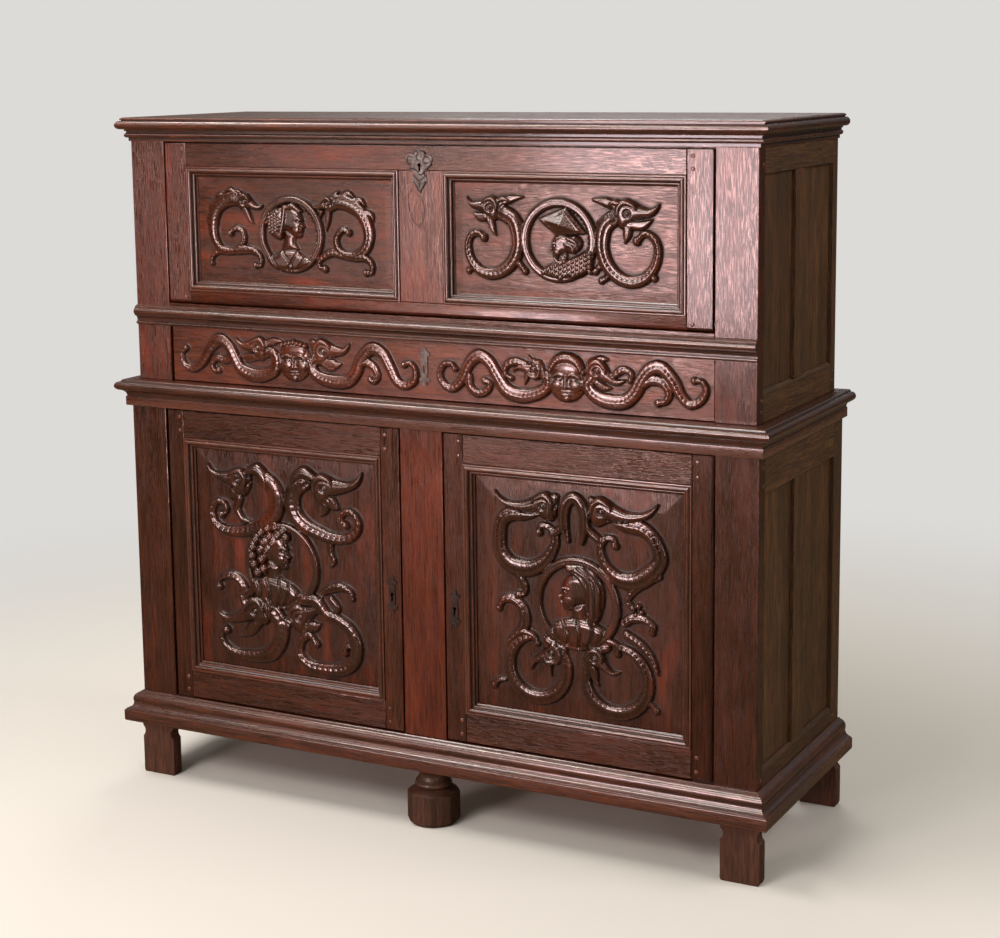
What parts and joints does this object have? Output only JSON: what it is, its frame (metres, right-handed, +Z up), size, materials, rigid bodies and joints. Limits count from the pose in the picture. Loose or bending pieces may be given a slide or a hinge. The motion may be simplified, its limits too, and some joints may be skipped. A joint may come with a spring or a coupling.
{
  "type": "secretary cabinet",
  "caption": "Carved oak secretary cabinet in two stages: a drop-front writing stage with a drawer, on a cupboard with hinged doors.",
  "frame": {"origin": "on the floor under the middle of the whole object's box", "axes": "+Z up, the doors and the fall face -Y, +X to the right as seen from the front"},
  "size_m": [1.358, 0.469, 1.31],
  "materials": {
    "polished_oak": "waxed and worn",
    "moulded_oak": "waxed, worn to orange on the edges",
    "carved_oak": "carved and waxed, dark in the hollows",
    "dark_oak": "dark stained",
    "inside_oak": "planed, unpolished",
    "forged_iron": "forged, dark",
    "lock_plate_iron": "dark patina, rubbed",
    "bolt_brass": "dull"
  },
  "bodies": {
    "carcass": {"top_board": "dark_oak", "cornice_moulding": "moulded_oak", "head_rail": "polished_oak", "upper_front_posts": "polished_oak", "upper_side_frames": "dark_oak", "upper_side_panels": "dark_oak", "upper_back_boards": "inside_oak", "ledge_rail": "polished_oak", "ledge_moulding": "moulded_oak", "writing_bed": "inside_oak", "drawer_runners": "inside_oak", "waist_board": "polished_oak", "waist_moulding": "moulded_oak", "lower_front_posts": "polished_oak", "lower_side_frames": "dark_oak", "lower_side_panels": "dark_oak", "lower_back_boards": "inside_oak", "lower_front_rails": "polished_oak", "centre_muntin": "polished_oak", "cupboard_floor": "inside_oak", "cupboard_shelf": "inside_oak", "shelf_cleats": "inside_oak", "base_moulding": "moulded_oak", "front_corner_feet": "dark_oak", "centre_foot": "dark_oak", "rear_corner_feet": "dark_oak", "pigeonholes": "inside_oak", "pivot_pins": "forged_iron", "stay_keepers": "forged_iron"},
    "fall": {"fall_frame": "polished_oak", "fall_panels": "carved_oak", "fall_mouldings": "moulded_oak", "fall_escutcheon": "lock_plate_iron", "fall_lock": "lock_plate_iron", "fall_stays": "forged_iron"},
    "fall_bolt": {"fall_bolt": "bolt_brass"},
    "left_door": {"left_door_frame": "polished_oak", "left_door_panel": "carved_oak", "left_door_moulding": "moulded_oak", "left_door_escutcheon": "lock_plate_iron", "left_door_lock": "lock_plate_iron"},
    "left_door_bolt": {"left_door_bolt": "bolt_brass"},
    "right_door": {"right_door_frame": "polished_oak", "right_door_panel": "carved_oak", "right_door_moulding": "moulded_oak", "right_door_escutcheon": "lock_plate_iron", "right_door_lock": "lock_plate_iron"},
    "right_door_bolt": {"right_door_bolt": "bolt_brass"},
    "drawer": {"drawer_front": "carved_oak", "drawer_sides": "inside_oak", "drawer_bottom": "inside_oak", "drawer_escutcheon": "lock_plate_iron", "drawer_lock": "lock_plate_iron"},
    "drawer_bolt": {"drawer_bolt": "bolt_brass"},
    "letter_drawer_left": {"letter_drawer_left": "inside_oak"},
    "letter_drawer_middle": {"letter_drawer_middle": "inside_oak"},
    "letter_drawer_right": {"letter_drawer_right": "inside_oak"}
  },
  "joints": [
    {"name": "fall_hinge", "type": "hinge", "parent": "carcass", "child": "fall", "pos_m": [0, -0.1795, 0.9685], "axis": [1, 0, 0], "range_deg": [0, 90]},
    {"name": "left_door_hinge", "type": "hinge", "parent": "carcass", "child": "left_door", "pos_m": [-0.5565, -0.1935, 0.4615], "axis": [0, 0, -1], "range_deg": [0, 90]},
    {"name": "right_door_hinge", "type": "hinge", "parent": "carcass", "child": "right_door", "pos_m": [0.5565, -0.1935, 0.4615], "axis": [0, 0, 1], "range_deg": [0, 90]},
    {"name": "drawer_slide", "type": "slide", "parent": "carcass", "child": "drawer", "axis": [0, -1, 0], "range_m": [0, 0.28]},
    {"name": "letter_drawer_left_slide", "type": "slide", "parent": "carcass", "child": "letter_drawer_left", "axis": [0, -1, 0], "range_m": [0, 0.15]},
    {"name": "letter_drawer_middle_slide", "type": "slide", "parent": "carcass", "child": "letter_drawer_middle", "axis": [0, -1, 0], "range_m": [0, 0.15]},
    {"name": "letter_drawer_right_slide", "type": "slide", "parent": "carcass", "child": "letter_drawer_right", "axis": [0, -1, 0], "range_m": [0, 0.15]},
    {"name": "fall_bolt_slide", "type": "slide", "parent": "fall", "child": "fall_bolt", "axis": [0, 0, 1], "range_m": [0, 0.011]},
    {"name": "left_door_bolt_slide", "type": "slide", "parent": "left_door", "child": "left_door_bolt", "axis": [1, 0, 0], "range_m": [0, 0.011]},
    {"name": "right_door_bolt_slide", "type": "slide", "parent": "right_door", "child": "right_door_bolt", "axis": [-1, 0, 0], "range_m": [0, 0.011]},
    {"name": "drawer_bolt_slide", "type": "slide", "parent": "drawer", "child": "drawer_bolt", "axis": [0, 0, 1], "range_m": [0, 0.011]}
  ]
}
